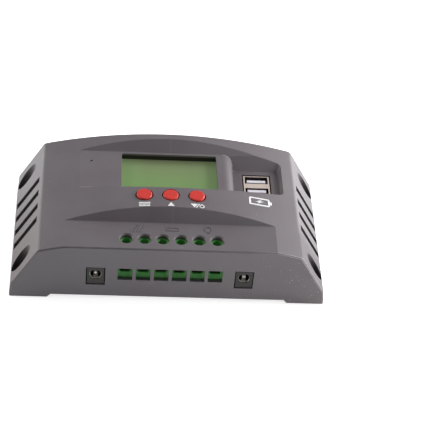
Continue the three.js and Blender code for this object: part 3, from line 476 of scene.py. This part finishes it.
def slot_looks():
    """The material for each of the record's material slots."""
    return {
        "casing": casing_material(),
        "red_plastic": plastic("button_red", BUTTON_RED, roughness=0.24, grain_depth=0.004),
        "green_plastic": plastic("terminal_green", TERMINAL_GREEN, roughness=0.42),
        "black_plastic": plastic("satin_black", SATIN_BLACK, roughness=0.4),
        "white_plastic": plastic("port_white", PORT_WHITE, roughness=0.35),
        "pale_plastic": plastic("switch_cream", SWITCH_CREAM, roughness=0.45),
        "display_glass": display_material(),
        "circuit_board": board_material(),
        "steel": metal("zinc_steel", ZINC, roughness=0.4, metallic=0.55),
        "nickel": metal("nickel_plate", NICKEL, roughness=0.24, metallic=0.6),
        "aluminium": metal("aluminium", ALUMINIUM, roughness=0.4, stretch=(0.2, 3.0, 3.0)),
        "brass": metal("tinned_brass", BRASS, roughness=0.35),
        "sleeve": plastic("capacitor_sleeve", SLEEVE_BLUE_BLACK, roughness=0.3),
        "red_lens": plastic("led_lens", LAMP_RED, roughness=0.2),
    }


def own_looks():
    """The material of each node that doesn't look like the rest of its slot."""
    # A paler, less metallic copy of nickel paints the highlight on the pins' tips.
    pin = metal("jack_pin_lit_nickel", LIT_PIN_NICKEL, roughness=0.16, metallic=0.2)
    # A dark copy of steel for the clamp cages paints the shade down in the terminals' holes.
    cage = metal("cage_steel_shaded", SHADED_CAGE_STEEL, roughness=0.45)
    special = {"port_shell": port_shell_material(), "jack_pin_left": pin, "jack_pin_right": pin}
    special.update({name: cage for name in nodes if name.startswith("terminal_cage")})
    return special


def paint_cad(looks, special):
    for part in frame["record"]["subparts"]:
        name = part["node"]
        materials = nodes[name].data.materials
        materials.clear()
        materials.append(special.get(name) or looks[part["material_slot"]])


# ---- Outlines of symbols ---------------------------------------------------------------------

def rectangle(x, y, width, height, turn=0.0):
    half_width, half_height = width / 2, height / 2
    corners = [
        (-half_width, -half_height),
        (half_width, -half_height),
        (half_width, half_height),
        (-half_width, half_height),
    ]
    c, s = math.cos(turn), math.sin(turn)
    return [(x + u * c - v * s, y + u * s + v * c) for u, v in corners]


def stroke(start, end, width):
    (x0, y0), (x1, y1) = start, end
    length = math.hypot(x1 - x0, y1 - y0)
    return rectangle((x0 + x1) / 2, (y0 + y1) / 2, length, width, math.atan2(y1 - y0, x1 - x0))


def open_frame(left, right, bottom, top, line, overlap):
    """The four sides of a battery, the last one longer by an overlap to fill its corner."""
    corners = [(left, bottom), (right, bottom), (right, top), (left, top), (left, bottom - overlap)]
    return [stroke(a, b, line) for a, b in zip(corners, corners[1:])]


def arc(x, y, radius, start, end, line, steps):
    """Short blocks that follow part of a circle, from one angle to another in degrees."""
    blocks = []
    overlap = 1.02
    length = radius * math.radians(abs(end - start)) / steps * overlap
    for i in range(steps):
        angle = math.radians(start + (end - start) * (i + 0.5) / steps)
        place = (x + radius * math.cos(angle), y + radius * math.sin(angle))
        blocks.append(rectangle(*place, length, line, angle + math.pi / 2))
    return blocks


def menu_symbol():
    """Three bars."""
    pitch = 1.25
    return [rectangle(0.0, y, width=6.0, height=0.8) for y in (-pitch, 0.0, pitch)]


def up_symbol():
    return [[(-1.8, -1.3), (1.9, -1.3), (0.0, 1.8)]]


def down_power_symbol():
    """A triangle that points down, a slash and the ring and bar of a switch sign."""
    line = 0.6
    switch_x = 2.4
    triangle = [(-3.7, 1.4), (-1.6, -1.5), (0.2, 1.4)]
    slash = stroke((-0.7, -1.6), (1.1, 1.5), line)
    ring = arc(switch_x, -0.3, radius=1.1, start=120, end=420, line=line, steps=12)
    bar = rectangle(switch_x, 0.9, width=line, height=1.3)
    return [triangle, slash, *ring, bar]


def charge_symbol():
    """A battery with a nub at its right end and a bolt in it."""
    half_width, half_height, line = 5.2, 2.6, 1.0
    battery = open_frame(-half_width, half_width, -half_height, half_height, line, overlap=line / 2)
    nub = rectangle(half_width + 1.0, 0.0, width=1.1, height=2.4)
    half_bolt = [(1.4, 1.9), (-2.3, -0.4), (-0.3, -0.4), (0.3, 0.4)]
    other_half = [(-u, -v) for u, v in half_bolt]
    return [*battery, nub, half_bolt, other_half]


def panel_symbol():
    """Four slanting bars, for a solar panel."""
    slant, half_height, line = 1.4, 3.0, 0.45
    return [
        stroke((x - slant, -half_height), (x + slant, half_height), line) for x in (-2.4, -0.8, 0.8, 2.4)
    ]


def battery_symbol():
    """A block with two terminals on top."""
    case = open_frame(-3.2, 3.2, -1.2, 1.0, line=0.35, overlap=0.2)
    terminals = [rectangle(x, 1.5, width=1.2, height=0.6) for x in (-1.8, 1.8)]
    return case + terminals


def lamp_symbol():
    """A bulb over two bars."""
    line = 0.35
    bulb = arc(0.0, 0.4, radius=1.9, start=-50, end=230, line=line, steps=14)
    cap = [rectangle(0.0, -1.7, width=1.8, height=line), rectangle(0.0, -2.4, width=1.3, height=line)]
    return bulb + cap


# ---- Printed and moulded symbols -------------------------------------------------------------

INK_LIFT = 0.02  # over the cover, so that the print lies on it
INK_THICKNESS = 0.06
EMBOSS_SINK = 0.05  # into the cover, so that the moulding grows out of it
EMBOSS_THICKNESS = 0.25
MARKS_FROM_BUTTONS = 7.6  # from the buttons' row forward to their symbols
CHARGE_MARK_FROM_MARKS = 9.6  # from there back to the port's symbol
EMBOSS_Y = -28.0


def add_piece(name, mesh, material, body):
    mesh.materials.append(material)
    piece = bpy.data.objects.new(name, mesh)
    bpy.context.scene.collection.objects.link(piece)
    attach(piece, body)


def thin_piece(name, outlines, middle, lift, thickness, material):
    """Flat outlines round a middle, laid on the cover and given a small thickness."""
    work = bmesh.new()
    for outline in outlines:
        top, bottom = [], []
        for u, v in outline:
            x, y = middle[0] + u, middle[1] + v
            z = cover_height(x, y) + lift
            bottom.append(work.verts.new(Vector((x, y, z)) * MM))
            top.append(work.verts.new(Vector((x, y, z + thickness)) * MM))
        work.faces.new(top)
        work.faces.new(bottom[::-1])
        for i, corner in enumerate(bottom):
            after = (i + 1) % len(bottom)
            work.faces.new((corner, bottom[after], top[after], top[i]))
    bmesh.ops.recalc_face_normals(work, faces=work.faces)
    mesh = bpy.data.meshes.new(name)
    work.to_mesh(mesh)
    work.free()
    add_piece(name, mesh, material, "casing")


def printed_marks(ink):
    """White symbols in front of the buttons and the charging port."""
    menu, up, down = [centre_mm(f"button_cap_{i}") for i in (1, 2, 3)]
    row = menu.y - MARKS_FROM_BUTTONS
    port_middle = (port_low.x + port_high.x) / 2
    marks = {
        "menu_mark": (menu_symbol(), (menu.x, row)),
        "up_mark": (up_symbol(), (up.x, row)),
        "down_power_mark": (down_power_symbol(), (down.x, row)),
        "charge_mark": (charge_symbol(), (port_middle - 0.4, row + CHARGE_MARK_FROM_MARKS)),
    }
    for name, (outlines, middle) in marks.items():
        thin_piece(name, outlines, middle, INK_LIFT, INK_THICKNESS, ink)


def embossed_marks(material):
    """Low raised symbols on the step, one over each pair of terminals."""
    screws = [centre_mm(f"terminal_screw_{i}").x for i in range(1, 7)]
    panel_x, battery_x, lamp_x = [(screws[i] + screws[i + 1]) / 2 for i in (0, 2, 4)]
    marks = {
        "panel_emboss": (panel_symbol(), panel_x + 1.35),
        "battery_emboss": (battery_symbol(), battery_x + 0.45),
        "lamp_emboss": (lamp_symbol(), lamp_x + 0.15),
    }
    for name, (outlines, x) in marks.items():
        thin_piece(name, outlines, (x, EMBOSS_Y), -EMBOSS_SINK, EMBOSS_THICKNESS, material)


# ---- Trim inside the jacks -------------------------------------------------------------------

SLEEVE_RADII = (2.95, 3.12)
SLEEVE_LENGTH = 0.8
SLEEVE_INSET = 0.4  # from the housing's face
SLEEVE_STEPS = 40
SPRING_PATH = ((1.3, -2.8), (2.6, -2.5), (4.6, -2.0), (6.6, -2.4), (9.0, -2.7))  # depth, height
SPRING_HALF_WIDTH = 1.2
SPRING_THICKNESS = 0.2


def joined_rings(rings, closed):
    """Faces that join each ring of corners to the next, and the last to the first if closed."""
    count = len(rings[0])
    pairs = list(zip(rings, rings[1:]))
    if closed:
        pairs.append((rings[-1], rings[0]))
    faces = []
    for ring, following in pairs:
        for i in range(count):
            after = (i + 1) % count
            faces.append((ring[i], ring[after], following[after], following[i]))
    return faces


def numbered_rings(count, corners_each):
    return [range(ring * corners_each, (ring + 1) * corners_each) for ring in range(count)]


def tube_mesh(name, place, radii, length):
    """A thin-walled ring that lies front to back; place is the middle of its front end."""
    inner, outer = radii
    corners = []
    for radius, along in ((outer, 0.0), (outer, length), (inner, length), (inner, 0.0)):
        for i in range(SLEEVE_STEPS):
            turn = 2 * math.pi * i / SLEEVE_STEPS
            offset = Vector((radius * math.cos(turn), along, radius * math.sin(turn)))
            corners.append((place + offset) * MM)
    mesh = bpy.data.meshes.new(name)
    mesh.from_pydata(corners, [], joined_rings(numbered_rings(4, SLEEVE_STEPS), closed=True))
    mesh.polygons.foreach_set("use_smooth", [True] * len(mesh.polygons))
    return mesh


def strip_mesh(name, place, path, half_width, thickness):
    """A bent strip that runs front to back along a path of depths and heights."""
    section = [(-half_width, 0.0), (half_width, 0.0), (half_width, thickness), (-half_width, thickness)]
    corners = []
    for along, height in path:
        corners += [(place + Vector((x, along, height + z))) * MM for x, z in section]
    rings = numbered_rings(len(path), len(section))
    sides = [face[::-1] for face in joined_rings(rings, closed=False)]
    mesh = bpy.data.meshes.new(name)
    mesh.from_pydata(corners, [], [tuple(rings[0]), tuple(rings[-1])[::-1], *sides])
    return mesh


def jack_mouth(side):
    """The middle of the bore, level with the housing's face."""
    face = box_mm(f"jack_housing_{side}")[0].y
    pin = centre_mm(f"jack_pin_{side}")
    return Vector((pin.x, face, pin.z))


def jack_sleeves(material):
    """The sprung metal sleeve just inside each jack's bore."""
    for side in ("left", "right"):
        name = f"jack_sleeve_{side}"
        place = jack_mouth(side) + Vector((0, SLEEVE_INSET, 0))
        mesh = tube_mesh(name, place, SLEEVE_RADII, SLEEVE_LENGTH)
        add_piece(name, mesh, material, "casing")


def jack_springs(material):
    """The sprung leaf along the bottom of each jack's bore, which presses on the plug."""
    for side in ("left", "right"):
        name = f"jack_spring_{side}"
        mesh = strip_mesh(name, jack_mouth(side), SPRING_PATH, SPRING_HALF_WIDTH, SPRING_THICKNESS)
        add_piece(name, mesh, material, "casing")


# ---- Studio: everything in metres --------------------------------------------------------------

FLOOR_REACH = 6.0  # each way
FLOOR_GLOW = 0.42  # light that the paper gives the casing
FLOOR_GLOW_SEEN = 0.75  # and what the camera sees, so that the paper stays white
SKY_STRENGTH = 0.175

# Each lamp: where it stands, how wide it is and its power in watts.
LAMPS = {
    "right_softbox": ((0.8, 0.16, 0.34), 0.7, 12.0),
    "left_softbox": ((-0.9, 0.42, 0.4), 0.8, 9.2),
    "back_softbox": ((0.7, 0.7, 0.45), 0.8, 3.0),
}

CAMERA_PLACE = (-0.04292, -0.61596, 0.57509)
CAMERA_TURN = (47.823, -4.736, -2.558)  # degrees about X, Y and Z
CAMERA_LENS = 122.2  # millimetres, on the sensor below
CAMERA_SENSOR = 36.0


def paper_material():
    r = Recipe("paper_floor")
    colour = r.mix(r.noise(per_mm=0.01), PAPER, PAPER_WHITE)
    seen = r.make("ShaderNodeLightPath", output="Is Camera Ray")
    return r.finish(
        Base_Color=colour,
        Roughness=0.9,
        Emission_Color=colour,
        Emission_Strength=r.spread(seen, FLOOR_GLOW, FLOOR_GLOW_SEEN),
    )


def paper_floor(scene):
    mesh = bpy.data.meshes.new("floor")
    corners = [(x * FLOOR_REACH, y * FLOOR_REACH, 0) for x, y in ((-1, -1), (1, -1), (1, 1), (-1, 1))]
    mesh.from_pydata(corners, [], [(0, 1, 2, 3)])
    mesh.materials.append(paper_material())
    floor = bpy.data.objects.new("floor", mesh)
    scene.collection.objects.link(floor)


def sky(scene):
    world = bpy.data.worlds.new("studio")
    world.use_nodes = True
    background = world.node_tree.nodes["Background"]
    background.inputs["Color"].default_value = LIGHT_WHITE
    background.inputs["Strength"].default_value = SKY_STRENGTH
    scene.world = world


def lamp(scene, name, place, size, power):
    """A square lamp that looks at the middle of the floor."""
    light = bpy.data.lights.new(name, "AREA")
    light.shape = "SQUARE"
    light.size = size
    light.energy = power
    holder = bpy.data.objects.new(name, light)
    holder.location = place
    holder.rotation_mode = "QUATERNION"
    holder.rotation_quaternion = (-Vector(place)).to_track_quat("-Z", "Y")
    scene.collection.objects.link(holder)


def camera(scene):
    eye = bpy.data.cameras.new("camera")
    eye.lens = CAMERA_LENS
    eye.sensor_width = CAMERA_SENSOR
    holder = bpy.data.objects.new("camera", eye)
    holder.location = CAMERA_PLACE
    holder.rotation_euler = [math.radians(angle) for angle in CAMERA_TURN]
    scene.collection.objects.link(holder)
    bpy.context.scene.camera = holder


def studio(scene):
    scene.view_settings.view_transform = "Standard"
    paper_floor(scene)
    sky(scene)
    for name, (place, size, power) in LAMPS.items():
        lamp(scene, name, place, size, power)
    camera(scene)


looks = slot_looks()
paint_cad(looks, own_looks())
printed_marks(plastic("print_white", PRINT_WHITE, roughness=0.5))
embossed_marks(looks["casing"])
jack_sleeves(looks["nickel"])
jack_springs(looks["nickel"])
studio(bpy.context.scene)
